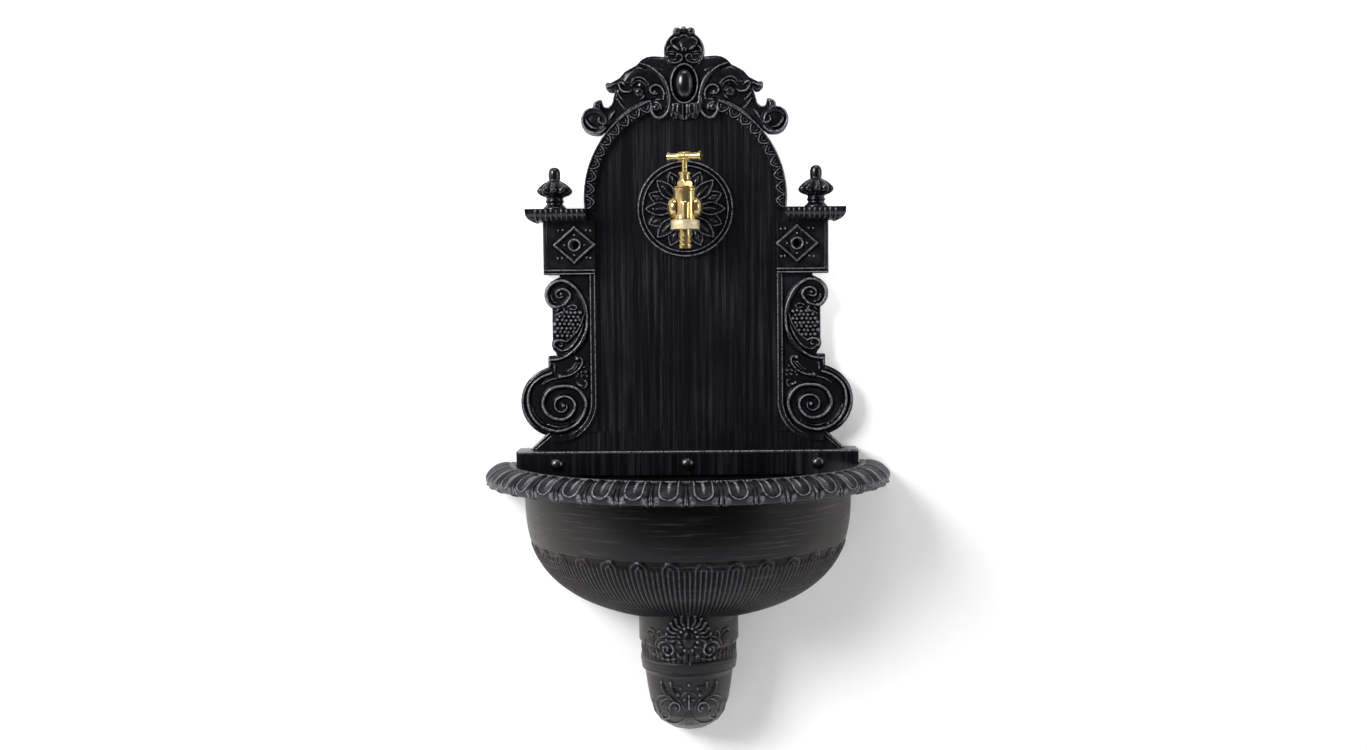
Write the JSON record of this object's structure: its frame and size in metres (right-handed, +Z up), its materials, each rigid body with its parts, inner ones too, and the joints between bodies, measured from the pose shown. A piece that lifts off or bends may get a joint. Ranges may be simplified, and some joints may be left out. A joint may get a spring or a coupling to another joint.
{
  "type": "garden wall fountain",
  "caption": "Wall-hung garden fountain: cast arched back panel with scroll crest and finials, half-round gadrooned basin on a corbel, and a brass tap.",
  "frame": {"origin": "in the wall plane, midway between the two wall screw holes", "axes": "+Z up, +X to the right seen from the front, +Y into the wall; the fountain stands out towards -Y"},
  "size_m": [0.4322, 0.2281, 0.7471],
  "materials": {
    "casting": "cast, painted black, dry-brushed with silver grey on the raised ornament",
    "black_bolts": "domed bolt heads painted with the casting",
    "steel": "zinc plated",
    "brass": "polished",
    "rubber": "matt",
    "fibre": "pressed fibre"
  },
  "bodies": {
    "fountain": {"back_panel": "casting", "crest": "casting", "crest_screws": "steel", "finial_left": "casting", "finial_right": "casting", "finial_studs": "steel", "rosette": "casting", "basin": "casting", "basin_bolts": "black_bolts", "basin_washers": "steel", "basin_nuts": "steel", "corbel": "casting", "drain_strainer": "brass", "drain_gasket": "rubber", "drain_washer": "fibre", "drain_locknut": "brass", "tap_body": "brass", "tap_inlet_washer": "fibre", "tap_backnut": "brass", "tap_bonnet": "brass", "bonnet_gasket": "fibre", "gland_nut": "brass", "gland_packing": "fibre"},
    "valve": {"valve_washer": "rubber", "valve_jumper": "brass"},
    "spindle": {"tap_spindle": "brass", "tap_handle": "brass"},
    "tail": {"hose_tail": "brass", "hose_tail_washer": "rubber"},
    "union": {"union_nut": "brass"}
  },
  "joints": [
    {"name": "valve_lift", "type": "slide", "parent": "fountain", "child": "valve", "axis": [0, 0, 1], "range_m": [0, 0.0045]},
    {"name": "handle_turn", "type": "hinge", "parent": "valve", "child": "spindle", "pos_m": [0, -0.065, 0.0882], "axis": [0, 0, 1], "range_deg": [0, 1080]},
    {"name": "tail_drop", "type": "slide", "parent": "fountain", "child": "tail", "axis": [0, 0, -1], "range_m": [0, 0.00453]},
    {"name": "union_turn", "type": "hinge", "parent": "tail", "child": "union", "pos_m": [0, -0.065, 0.018], "axis": [0, 0, -1], "range_deg": [0, 900]}
  ],
  "couplings": [
    {"joint": "handle_turn", "follows": "valve_lift", "rad_per_m": 4188.8},
    {"joint": "union_turn", "follows": "tail_drop", "rad_per_m": 3463.7}
  ]
}
